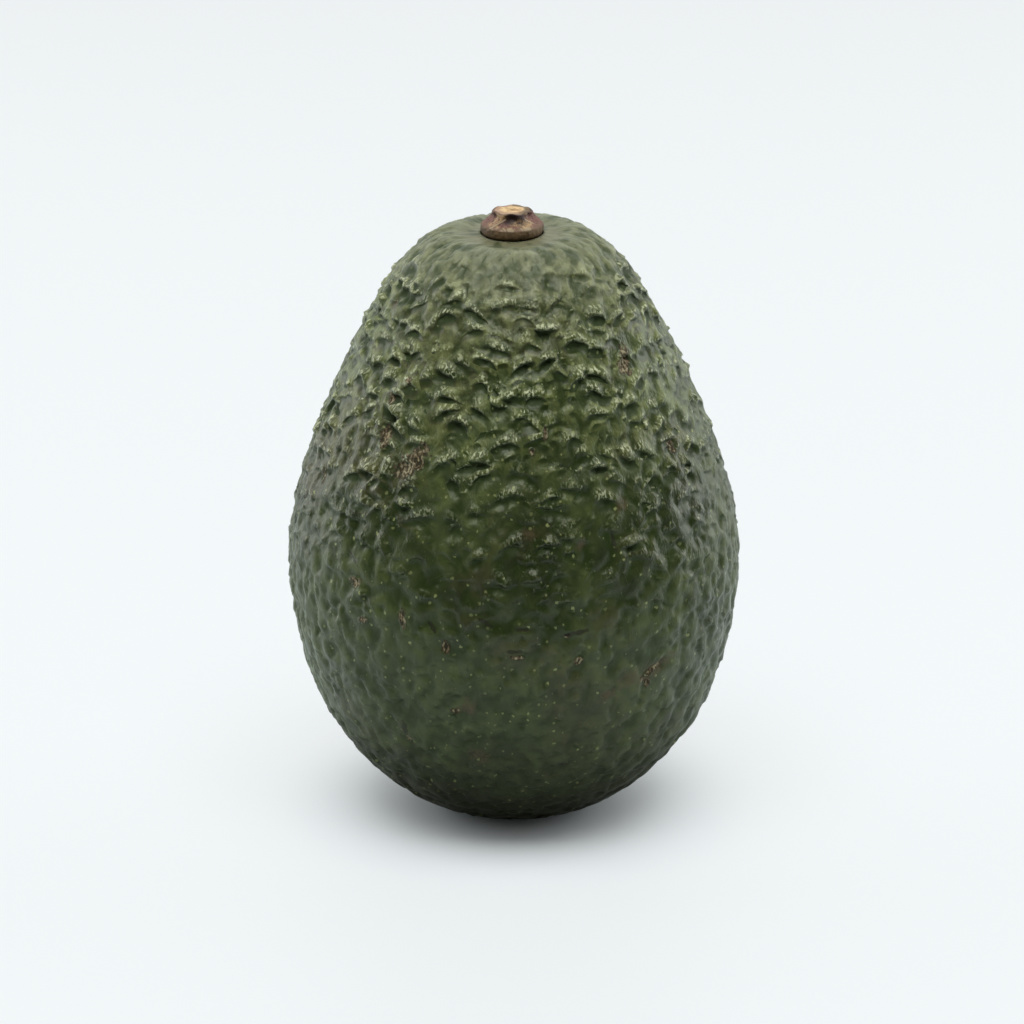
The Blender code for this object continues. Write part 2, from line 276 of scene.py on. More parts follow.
def rind_relief_tree():
    """Smooths the body, then raises scales that overhang, dimples, and wrinkles round the stem."""
    scale = ("Scale width", "Scale drop", "Scale height", "Scale sag")
    crown = ("Furrow depth", "Crown swell", "Seat closing")
    t, sockets = geometry_tree("rind relief", {
        "Int": ("Subdivisions", "Rounding"),
        "Float": ("Pebble gain", *scale, "Dimple size", "Dimple depth", *crown, "Seed"),
        "Vector": ("Stem seat",),
        "Material": ("Rind",),
    })
    given = t.node("NodeGroupInput").outputs
    position = t.node("GeometryNodeInputPosition").outputs[0]
    normal = t.node("GeometryNodeInputNormal").outputs[0]

    def named(name, kind="FLOAT"):
        return t.node("GeometryNodeInputNamedAttribute", {"Name": name}, data_type=kind).outputs[0]

    def blurred(value, passes, weight=1.0, kind="FLOAT"):
        inputs = {"Value": value, "Iterations": passes, "Weight": weight}
        return t.node("GeometryNodeBlurAttribute", inputs, data_type=kind).outputs[0]

    def moved(geometry, **places):
        return t.node("GeometryNodeSetPosition", {"Geometry": geometry, **places}).outputs[0]

    # The body under the pebbles, and how far each point of the solid stands off it. Blurring shrinks the
    # fruit a little, so the body is moved back out by what a second blur takes off.
    once = blurred(position, BODY_BLUR, kind="FLOAT_VECTOR")
    twice = blurred(once, BODY_BLUR, kind="FLOAT_VECTOR")
    body = t.vector("ADD", once, t.vector("SUBTRACT", once, twice))
    stands_off = t.vector("DOT_PRODUCT", t.vector("SUBTRACT", position, body), normal)
    geometry = t.store(given["Geometry"], "pebble", stands_off)
    geometry = t.store(geometry, "body", body, "FLOAT_VECTOR")
    inputs = {"Mesh": geometry, "Level": given["Subdivisions"]}
    geometry = t.node("GeometryNodeSubdivideMesh", inputs).outputs[0]

    # The seat, the crown's edge round it and the flat foot keep their shape.
    from_seat = t.vector("SUBTRACT", position, given["Stem seat"])
    seat_distance = t.vector("LENGTH", from_seat)
    height = t.node("ShaderNodeSeparateXYZ", {0: position}).outputs[2]
    free = t.math("MULTIPLY", t.ramp(seat_distance, 5.3 * MM, 7.0 * MM), t.ramp(height, 0.02 * MM, 1.5 * MM))
    geometry = t.store(geometry, "free", free)
    free = named("free")
    settled = t.node("ShaderNodeMix", data_type="VECTOR")
    for key, value in ((0, free), (4, position), (5, named("body", "FLOAT_VECTOR"))):
        t.tree.links.new(value, settled.inputs[key])
    geometry = moved(geometry, Position=settled.outputs[1])
    geometry = moved(geometry, Position=blurred(position, given["Rounding"], free, "FLOAT_VECTOR"))
    geometry = t.store(geometry, "pebble", blurred(named("pebble"), 3))
    geometry = t.store(geometry, "outward", blurred(normal, 4, kind="FLOAT_VECTOR"), "FLOAT_VECTOR")
    outward = t.vector("NORMALIZE", named("outward", "FLOAT_VECTOR"))
    rise = t.node("ShaderNodeSeparateXYZ", {0: outward}).outputs[2]
    down = t.vector("NORMALIZE", t.vector("SUBTRACT", t.scaled(outward, rise), (0.0, 0.0, 1.0)))
    seeded = t.vector("ADD", position, t.node("ShaderNodeCombineXYZ", {0: given["Seed"]}).outputs[0])
    geometry = t.store(geometry, "place", position, "FLOAT_VECTOR")

    # The lie of the fine grain: up and down the flank, and out from the stem on the crown.
    split = t.node("ShaderNodeSeparateXYZ", {0: from_seat}).outputs
    flat = t.node("ShaderNodeCombineXYZ", {0: split[0], 1: split[1]}).outputs[0]
    radius = t.vector("LENGTH", flat)
    run = t.math("MULTIPLY", split[2], 0.55)
    run = t.math("MULTIPLY_ADD", t.math("MINIMUM", radius, FURROW_REACH), -0.3, run)
    flow = t.scaled(t.vector("NORMALIZE", flat), t.math("MAXIMUM", radius, FURROW_REACH))
    flow = t.vector("ADD", flow, t.node("ShaderNodeCombineXYZ", {2: run}).outputs[0])
    geometry = t.store(geometry, "flow", flow, "FLOAT_VECTOR")

    # How strong the relief is: full on the shoulders, fading towards the stem and below the belly.
    uneven = t.ramp(t.noise(seeded, UNEVEN_PLACES, detail=1.0), 0.3, 0.7, 0.62, 1.18)
    off_stem = t.ramp(seat_distance, 11.5 * MM, 20 * MM)
    risen = t.ramp(height, RELIEF_FROM, 68 * MM, 0.16, 1.0)
    strength = t.math("MULTIPLY", t.math("MULTIPLY", risen, off_stem), uneven)
    geometry = t.store(geometry, "strength", strength)
    risen = t.ramp(height, RELIEF_FROM, 62 * MM, 0.8, 1.0)
    small_strength = t.math("MULTIPLY", risen, t.math("MULTIPLY", off_stem, uneven))
    small_strength = t.math("MULTIPLY", t.ramp(height, 2 * MM, 16 * MM), small_strength)
    geometry = t.store(geometry, "small_strength", small_strength)
    width, drop = given["Scale width"], given["Scale drop"]
    spots = scale_spots(t, seeded, width, drop, 0.0)
    small_spots = scale_spots(t, seeded, SMALL_WIDTH, SMALL_DROP, 3.7)
    geometry = t.store(geometry, "spot", spots, "FLOAT_VECTOR")
    geometry = t.store(geometry, "small_spot", small_spots, "FLOAT_VECTOR")
    large = scale_height(t, named("spot", "FLOAT_VECTOR"), outward, width, drop)
    small = scale_height(t, named("small_spot", "FLOAT_VECTOR"), outward, SMALL_WIDTH, SMALL_DROP)
    large = t.math("MULTIPLY", t.math("MULTIPLY", large, named("strength")), given["Scale height"])
    small = t.math("MULTIPLY", t.math("MULTIPLY", small, named("small_strength")), SMALL_HEIGHT)
    geometry = t.store(geometry, "scale", t.math("ADD", large, small))
    geometry = t.store(geometry, "scale", blurred(named("scale"), 1, 0.7))
    scaled = t.math("MULTIPLY", named("scale"), free)
    geometry = t.store(geometry, "patch", t.noise(seeded, PATCHES, detail=2.0))
    geometry = t.store(geometry, "sunny", t.noise(seeded, SUNNY_SIDES, detail=3.0, roughness=0.6))
    geometry = t.store(geometry, "mottle", t.noise(seeded, MOTTLES, detail=2.0, roughness=0.6))

    # Shallow dimples and low bumps everywhere but close to the stem, where wrinkles run out instead.
    upright = t.vector("MULTIPLY", seeded, (1.0, 1.0, 0.7))
    wave = t.noise(upright, t.math("DIVIDE", 1.0, given["Dimple size"]), detail=2.0)
    dimple = t.math("MULTIPLY", t.ramp(wave, 0.36, 0.55, -1.0, 0.15), given["Dimple depth"])
    dimple = t.math("MULTIPLY", dimple, t.ramp(seat_distance, 9 * MM, 20 * MM, 0.12, 1.0))
    geometry = t.store(geometry, "dimple", t.ramp(wave, 0.50, 0.38))
    bowl_spot = scale_spots(t, seeded, BOWL_SIZE, BOWL_SIZE, 8.9)
    cell = t.node("ShaderNodeTexVoronoi", {"Vector": bowl_spot, "Scale": 1.0, "Randomness": 1.0}).outputs
    chance = t.node("ShaderNodeSeparateXYZ", {0: cell["Color"]}).outputs[0]
    bowl = t.math("MULTIPLY_ADD", cell["Distance"], 1.15, -0.75)
    bowl = t.math("MULTIPLY", bowl, t.ramp(chance, 0.0, 1.0, 0.5, 1.0))
    bowled = t.ramp(height, 72 * MM, 52 * MM, 0.30, 1.0)
    bowled = t.math("MULTIPLY", bowled, t.ramp(seat_distance, 12 * MM, 20 * MM))
    bowled = t.math("MULTIPLY", bowled, t.ramp(height, 2 * MM, 12 * MM))
    geometry = t.store(geometry, "bowl", t.math("MULTIPLY", bowl, bowled))
    dimple = t.math("MULTIPLY_ADD", named("bowl"), BOWL_DEPTH, dimple)
    near_stem = t.ramp(seat_distance, 5.2 * MM, 7.0 * MM)
    near_stem = t.math("MULTIPLY", near_stem, t.ramp(seat_distance, 22 * MM, 11 * MM))
    furrow = t.math("MULTIPLY", stem_wrinkles(t, from_seat), near_stem)
    furrow = t.math("MULTIPLY", furrow, given["Furrow depth"])

    lift = t.math("MULTIPLY", named("pebble"), given["Pebble gain"])
    lift = t.math("ADD", scaled, lift)
    knob = t.math("SUBTRACT", t.noise(seeded, KNOBS, detail=1.0), 0.5)
    knob = t.math("MULTIPLY", knob, t.ramp(named("scale"), 0.02 * MM, 0.3 * MM))
    geometry = t.store(geometry, "knob", knob)
    lift = t.math("MULTIPLY_ADD", named("knob"), KNOB_HEIGHT, lift)
    wave = t.noise(named("flow", "FLOAT_VECTOR"), CROWN_LINES, detail=2.0, roughness=0.6)
    band = t.ramp(seat_distance, 6.5 * MM, 11 * MM)
    band = t.math("MULTIPLY", band, t.ramp(seat_distance, 27 * MM, 16 * MM))
    ridge = t.math("MULTIPLY", t.ramp(wave, 0.34, 0.64, -1.0, 1.0), band)
    geometry = t.store(geometry, "crown_ridge", ridge)
    lift = t.math("MULTIPLY_ADD", named("crown_ridge"), CROWN_RIDGES, lift)
    swell = t.ramp(seat_distance, 5.5 * MM, 11 * MM)
    swell = t.math("MULTIPLY", swell, t.ramp(seat_distance, 30 * MM, 12 * MM))
    lift = t.math("MULTIPLY_ADD", swell, given["Crown swell"], lift)
    lift = t.math("MULTIPLY", t.math("ADD", t.math("ADD", lift, dimple), furrow), free)
    sag = t.math("MULTIPLY", scaled, given["Scale sag"])
    inward = t.math("MULTIPLY", t.ramp(seat_distance, 6.4 * MM, 5.1 * MM), given["Seat closing"])
    across = t.vector("NORMALIZE", t.vector("MULTIPLY", from_seat, (-1.0, -1.0, 0.0)))
    lift = t.math("SUBTRACT", lift, t.ramp(seat_distance, 11 * MM, 5.2 * MM, 0.0, COLLAR_DROP))
    offset = t.vector("ADD", t.scaled(outward, lift), t.scaled(down, sag))
    geometry = moved(geometry, Offset=t.vector("ADD", offset, t.scaled(across, inward)))

    t.end(geometry, given["Rind"])
    return t.tree, sockets


# Marks of growth and handling: kind, turn from the front, height, width, length, tilt (degrees and mm).
MARKS = (
    ("cork", -28, 64.5, 3.0, 6.6, -32),
    ("cork", -32, 62.5, 2.6, 3.2, 40),
    ("cork", -40, 66.5, 2.0, 3.4, 10),
    ("cork", 41, 78, 2.2, 3.4, 0),
    ("cork", 40, 76.5, 3.0, 2.6, 0),
    ("cork", -35, 75, 1.2, 1.2, 0),
    ("cork", -41, 72, 1.2, 2.2, 20),
    ("cork", 9, 69, 0.9, 2.2, -8),
    ("cork", 5, 66.5, 1.1, 1.2, 0),
    ("cork", 51, 64, 1.6, 2.0, 0),
    ("blush", 29, 58, 2.2, 2.8, 0),
    ("blush", 4, 55, 2.8, 2.0, 0),
    ("blush", 17, 53, 1.8, 1.9, 0),
    ("slit", 26, 53, 0.8, 4.0, 8),
    ("slit", 15, 40, 5.0, 0.9, 10),
    ("cork", 13, 39.5, 1.0, 0.8, 0),
    ("slit", 2, 41, 3.0, 0.7, -5),
    ("slit", -7, 42, 0.8, 3.2, 54),
    ("slit", 0, 37.5, 3.4, 0.7, 0),
    ("cork", 1, 36.5, 2.0, 0.9, 0),
    ("cork", 16, 35.5, 1.6, 1.6, 0),
    ("blush", 31, 31, 5.6, 3.6, 15),
    ("blush", 24, 29, 2.4, 3.4, -40),
    ("cork", 36, 30, 1.3, 2.2, 20),
    ("blush", 39, 32, 2.8, 9.5, -63),
    ("cork", 38, 32, 1.0, 4.6, -63),
    ("cork", -17, 37.5, 1.6, 2.4, 0),
    ("slit", -20, 40.5, 0.8, 3.0, 33),
    ("cork", -28, 41, 1.3, 3.8, 0),
    ("cork", -40, 39.5, 2.2, 1.3, 20),
    ("slit", -48, 36, 0.8, 1.9, 0),
    ("slit", -44, 48.5, 0.7, 3.6, 55),
    ("cork", -43, 45, 2.8, 1.8, 0),
    ("slit", -31, 22.5, 0.9, 3.6, 0),
    ("cork", -31, 20.5, 0.9, 1.6, 0),
    ("blush", -12, 28, 3.0, 3.4, 0),
    ("cork", -15, 27, 1.6, 1.2, 0),
    ("blush", -10, 19, 4.6, 3.2, 0),
    ("slit", 14, 17, 2.8, 0.9, 0),
    ("cork", -64, 58, 1.4, 3.4, 0),
    ("blush", -55, 84, 1.8, 1.8, 0),
    ("cork", 96, 62, 2.8, 5.4, 20),
    ("slit", 108, 40, 3.6, 0.8, -10),
    ("cork", 141, 58, 3.8, 2.8, 0),
    ("blush", 128, 30, 5.0, 4.0, 0),
    ("slit", 165, 45, 0.8, 4.0, 12),
    ("cork", 186, 71, 2.6, 4.4, -25),
    ("cork", 203, 34, 2.8, 2.2, 0),
    ("blush", 217, 55, 3.4, 2.6, 0),
    ("slit", 236, 63, 3.2, 0.8, 20),
    ("cork", 252, 43, 3.4, 4.0, 35),
    ("cork", 272, 74, 2.0, 2.8, 0),
    ("cork", 0, 0, 3.0, 3.0, 0),  # the blossom scar, in the middle of the foot
)
MARK_SUNK = 0.12 * MM
FAR_OFF = 99.0  # farther out than any mark reaches, in half sizes
MARK_EDGE = 1.6  # where a mark's ragged edge is over
CORK_PALE = (0.31, 0.27, 0.165)
CORK_BROWN = (0.125, 0.088, 0.048)
CORK_DARK = (0.028, 0.020, 0.010)
SLIT_DARK = (0.011, 0.011, 0.004)
BLUSH = (0.078, 0.055, 0.028)


def mark_rind(rind):
    """Gives each point of the rind its place in the nearest mark of each kind, in the mark's half sizes."""
    points = [vertex.co.copy() for vertex in rind.data.vertices]
    normals = [vertex.normal.copy() for vertex in rind.data.vertices]
    depths = [0.0] * len(points)
    for kind in ("cork", "slit", "blush"):
        places = [(0.0, 0.0, FAR_OFF)] * len(points)
        nearest = [FAR_OFF] * len(points)
        for own, turn, height, width, length, tilt in MARKS:
            if own != kind:
                continue
            angle = math.radians(turn)
            way = Vector((math.sin(angle), -math.cos(angle), 0.0))
            if height:
                start = Vector((0.0, 0.0, height * MM)) + way * 0.2
                centre = rind.ray_cast(start, -way)[1]
                upright = Vector((0.0, 0.0, 1.0))
            else:
                centre = Vector((0.0, 0.0, 0.0))
                upright = way
            right = Vector((0.0, 0.0, 1.0)).cross(way)
            lean = math.radians(tilt)
            along = upright * math.cos(lean) - right * math.sin(lean)
            across = right * math.cos(lean) + upright * math.sin(lean)
            reach = (3.0 * max(width, length) * MM) ** 2
            for number, point in enumerate(points):
                offset = point - centre
                if offset.length_squared < reach:
                    u = offset.dot(across) / (width / 2 * MM)
                    v = offset.dot(along) / (length / 2 * MM)
                    far = math.sqrt(u * u + v * v)
                    if far < nearest[number]:
                        nearest[number] = far
                        # The third number keeps the faces between two marks from looking like part of one.
                        places[number] = (u, v, max(0.0, far - MARK_EDGE) * 4.0)
        if kind != "blush":
            depths = [max(depth, min(1.0, 2.0 * (1.0 - far))) for depth, far in zip(depths, nearest)]
        attribute = rind.data.attributes.new(kind, "FLOAT_VECTOR", "POINT")
        attribute.data.foreach_set("vector", [value for place in places for value in place])
    sunk = [point - normal * (MARK_SUNK * depth) for point, normal, depth in zip(points, normals, depths)]
    rind.data.vertices.foreach_set("co", [value for point in sunk for value in point])
    rind.data.update()


def rind_material():
    made, t = new_material("waxy rind")

    def own(name, output="Fac"):
        return t.node("ShaderNodeAttribute", attribute_name=name).outputs[output]

    # The place on the body under the relief keeps this pattern in step with the scales of the mesh.
    place, outward = own("place", "Vector"), t.vector("NORMALIZE", own("outward", "Vector"))
    strength, dimple = own("strength"), own("dimple")
    height = t.node("ShaderNodeSeparateXYZ", {0: place}).outputs[2]
    seat_distance = t.vector("LENGTH", t.vector("SUBTRACT", place, tuple(stem_seat())))
    large = scale_height(t, own("spot", "Vector"), outward, SCALE_WIDTH, SCALE_DROP)
    small = scale_height(t, own("small_spot", "Vector"), outward, SMALL_WIDTH, SMALL_DROP)
    large = t.math("MULTIPLY", t.math("MULTIPLY", large, strength), SCALE_HEIGHT / MM)
    small = t.math("MULTIPLY", t.math("MULTIPLY", small, own("small_strength")), SMALL_HEIGHT / MM)
    relief = t.math("ADD", large, small)
    grain = t.noise(own("flow", "Vector"), GRAINS, detail=1.0, roughness=0.6)

    colour = t.mix(t.ramp(own("patch"), 0.36, 0.66), RIND_DARK, RIND_GREEN)
    sunny = t.math("MULTIPLY", t.ramp(own("sunny"), 0.52, 0.70), t.ramp(height, 40 * MM, 70 * MM, 0.1, 0.7))
    colour = t.mix(sunny, colour, RIND_YELLOW)
    colour = t.mix(t.math("MULTIPLY", t.ramp(own("sunny"), 0.46, 0.34), 0.75), colour, RIND_BROWN)
    # Greyer below the belly in uneven patches: partly the rind's own tone, partly a painted haze of the
    # table.
    grey_and_painted_haze = t.math("MULTIPLY", t.ramp(height, 50 * MM, 32 * MM), t.ramp(own("patch"), 0.35, 0.6, 0.35, 0.8))
    colour = t.mix(grey_and_painted_haze, colour, GREY_AND_PAINTED_HAZE)
    # Painted sheen: the upward slopes of the upper half are paled as if lit by the overhead light.
    painted_slope_sheen = t.math("MULTIPLY", t.ramp(height, 54 * MM, 76 * MM), t.ramp(relief, -0.12, 0.06))
    colour = t.mix(t.math("MULTIPLY", painted_slope_sheen, t.ramp(grain, 0.40, 0.60, 0.58, 0.86)), colour, PAINTED_SLOPE_SHEEN)
    # Painted sheen: the crown grows paler towards the stem, as if lit from overhead.
    colour = t.mix(t.math("MULTIPLY", t.ramp(seat_distance, 26 * MM, 9 * MM), 0.9), colour, PAINTED_CROWN_SHEEN)
    colour = t.mix(t.ramp(seat_distance, 9.0 * MM, 5.4 * MM, 0.0, 0.4), colour, CROWN_BROWN)
    ridge = own("crown_ridge")
    # Painted shade in the furrows that run out from the stem.
    colour = t.mix(t.math("MULTIPLY", t.ramp(ridge, -0.25, -0.9), 0.65), colour, PAINTED_HOLLOW_SHADE)
    # A painted highlight on the ridges between those furrows.
    colour = t.mix(t.math("MULTIPLY", t.ramp(ridge, 0.3, 0.9), 0.18), colour, PAINTED_GLINT_PALE)
    mottle = t.mix(t.ramp(own("mottle"), 0.34, 0.66), (0.72, 0.74, 0.76), (1.30, 1.26, 1.14))
    colour = t.mix(t.ramp(seat_distance, 8 * MM, 20 * MM, 0.3, 1.0), colour, mottle, "MULTIPLY")
    # Painted shade in the pockets under the lips, in the dimples and in the hollows of the bowls.
    painted_hollow_shade = t.math("MULTIPLY", t.ramp(relief, 0.02, -0.26), 0.97)
    painted_hollow_shade = t.math("MAXIMUM", painted_hollow_shade, t.math("MULTIPLY", dimple, 0.7))
    painted_hollow_shade = t.math("MAXIMUM", painted_hollow_shade, t.math("MULTIPLY", t.ramp(own("bowl"), -0.30, -0.65), 0.5))
    colour = t.mix(painted_hollow_shade, colour, PAINTED_HOLLOW_SHADE)
    # Painted glints: pale grains on the raised lips of the upper half, where the overhead light would catch
    # them.
    painted_glint = t.math("MULTIPLY", t.ramp(relief, 0.04, 0.28), t.ramp(grain, 0.49, 0.60))
    painted_glint = t.math("MULTIPLY", painted_glint, t.ramp(own("knob"), -0.12, 0.10, 0.3, 1.0))
    painted_glint = t.math("MULTIPLY", painted_glint, t.ramp(height, 50 * MM, 66 * MM, 0.1, 0.9))
    colour = t.mix(painted_glint, colour, PAINTED_GLINT_PALE)
    # Painted shade: the rind darkens towards the foot, where it rests on the table.
    colour = t.mix(t.ramp(height, 24 * MM, 2 * MM), colour, PAINTED_FOOT_SHADE)

    # Breathing pores: small pale dots, a millimetre or two apart.
    cell = t.node("ShaderNodeTexVoronoi", {"Vector": place, "Scale": PORES, "Randomness": 1.0})
    chance = t.node("ShaderNodeSeparateXYZ", {0: cell.outputs["Color"]}).outputs
    dot = t.math("SUBTRACT", cell.outputs["Distance"], t.ramp(chance[0], 0.0, 1.0, 0.03, 0.19))
    dot = t.math("MULTIPLY_ADD", t.math("SUBTRACT", grain, 0.5), 0.5, dot)
    dot = t.math("MULTIPLY", t.ramp(dot, 0.05, -0.05), t.ramp(chance[1], 0.0, 1.0, 0.3, 1.0))
    dot = t.math("MULTIPLY", dot, t.ramp(height, 94 * MM, 76 * MM, 0.3, 1.0))
    colour = t.mix(dot, colour, DOT_PALE)

    # Corky scars, dark slits and brown blushes, with ragged outlines.
    ragged = t.math("SUBTRACT", t.noise(place, RAGS, detail=2.0, roughness=0.7), 0.5)

    def mark(kind, wobble, low, high):
        depth = t.math("SUBTRACT", 1.0, t.vector("LENGTH", own(kind, "Vector")))
        return t.ramp(t.math("MULTIPLY_ADD", ragged, wobble, depth), low, high)

    cork = mark("cork", 2.2, 0.06, 0.22)
    slit = mark("slit", 1.6, 0.0, 0.45)
    blush = mark("blush", 2.4, -0.2, 0.9)
    rim = t.math("MULTIPLY", mark("cork", 2.2, 0.45, 0.20), 0.7)
    crumb = t.mix(t.ramp(grain, 0.42, 0.50), CORK_DARK, CORK_BROWN)
    crumb = t.mix(t.ramp(grain, 0.53, 0.63), crumb, CORK_PALE)
    colour = t.mix(t.math("MULTIPLY", blush, 0.7), colour, BLUSH)
    colour = t.mix(t.math("MULTIPLY", cork, 0.92), colour, t.mix(rim, crumb, CORK_DARK))
    colour = t.mix(t.math("MULTIPLY", slit, 0.85), colour, SLIT_DARK)

    # The relief that is finer than the mesh, as heights in millimetres.
    lively = t.ramp(large, -0.10, 0.12, 0.03, t.ramp(strength, 0.15, 0.8, 0.06, 0.24))
    lively = t.math("MULTIPLY_ADD", t.ramp(t.vector("LENGTH", own("cork", "Vector")), 1.2, 0.8), 0.22, lively)
    total = t.math("MULTIPLY_ADD", grain, lively, t.math("MULTIPLY", large, FINE_SHARE))
    bump = t.node("ShaderNodeBump", {"Strength": 1.0, "Distance": MM, "Height": total})
    rough = t.ramp(own("patch"), 0.3, 0.7, 0.38, 0.46)
    rough = t.math("SUBTRACT", rough, t.ramp(relief, 0.05, 0.30, 0.0, 0.11))
    rough = t.math("SUBTRACT", rough, t.ramp(own("bowl"), 0.0, 0.25, 0.0, 0.08))
    pocket = t.math("MULTIPLY", t.ramp(relief, -0.02, -0.30), 0.85)
    dull = t.math("MAXIMUM", t.math("MAXIMUM", cork, t.math("MULTIPLY", slit, 0.65)), pocket)
    rough = t.math("MAXIMUM", rough, t.math("MULTIPLY", dull, 0.8))

    inputs = {"Base Color": colour, "Roughness": rough, "Normal": bump.outputs[0]}
    shader = t.node("ShaderNodeBsdfPrincipled", inputs)
    shader.inputs["IOR"].default_value = 1.42
    shader.inputs["Sheen Weight"].default_value = 0.14
    shader.inputs["Sheen Roughness"].default_value = 0.35
    shader.inputs["Sheen Tint"].default_value = (0.92, 1.0, 0.80, 1.0)
    shader.inputs["Specular Tint"].default_value = (0.95, 1.0, 0.80, 1.0)
    t.node("ShaderNodeOutputMaterial", {"Surface": shader.outputs[0]})
    return made


rind_skin = merged_copy("rind_skin", "fruit")
pair_triangles(rind_skin, PAIRED_BELOW)
relief_tree, relief_inputs = rind_relief_tree()
relief_sizes = {
    "Subdivisions": RIND_SUBDIVISIONS,
    "Rounding": RIND_ROUNDING,
    "Pebble gain": PEBBLE_GAIN,
    "Scale width": SCALE_WIDTH,
    "Scale drop": SCALE_DROP,
    "Scale height": SCALE_HEIGHT,
    "Scale sag": SCALE_SAG,
    "Dimple size": DIMPLE_SIZE,
    "Dimple depth": DIMPLE_DEPTH,
    "Furrow depth": FURROW_DEPTH,
    "Crown swell": CROWN_SWELL,
    "Seat closing": SEAT_CLOSING,
    "Seed": RIND_SEED,
    "Stem seat": stem_seat(),
    "Rind": rind_material(),
}
apply_nodes(rind_skin, relief_tree, {relief_inputs[name]: size for name, size in relief_sizes.items()})
mark_rind(rind_skin)
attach(rind_skin, "root")
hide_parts("fruit")


# ---- Stem button -------------------------------------------------------------------------------------
# The woody stub of the stem that the fruit hung from, cut just above the flange where it joins the
# crown. Its corky bark is ribbed and red brown, and the cut face shows pale dry wood round a darker pith.

BARK_SUBDIVISIONS = 2
BARK_ROUNDING = 2
BARK_ROUGHNESS = 0.16 * MM
NECK_PINCH = 0.55 * MM  # how far the neck is hollowed at the front, under the rim of the cut
RIM_CORNERS = 0.10 * MM
RIM_DRAW = 0.26 * MM  # how much narrower the rim is than the solid
RIM_DROP = 0.22 * MM  # the neck stands this much shorter than the solid
STEM_LEAN = math.radians(2.5)
BARK_STRANDS = ((-47, 1.75, -21, 3.15), (38, 3.25, 60, 2.2))  # turn and height of both ends
MM_PER_DEGREE = math.radians(3.6)  # along the bark, where it is 3.6 mm from the axis
BARK_RED = (0.170, 0.078, 0.058)
BARK_TAN = (0.40, 0.265, 0.13)
# Dark bark, and also painted shade under the rim and where the button meets the rind.
DARK_BARK_AND_PAINTED_SHADE = (0.022, 0.010, 0.007)
FLANGE_SIDE = (0.155, 0.098, 0.044)
FLANGE_PALE = (0.36, 0.29, 0.175)
CUT_PALE = (0.68, 0.49, 0.25)
CUT_TAN = (0.42, 0.25, 0.115)
CUT_RED = (0.36, 0.225, 0.145)
PITH = (0.20, 0.125, 0.035)


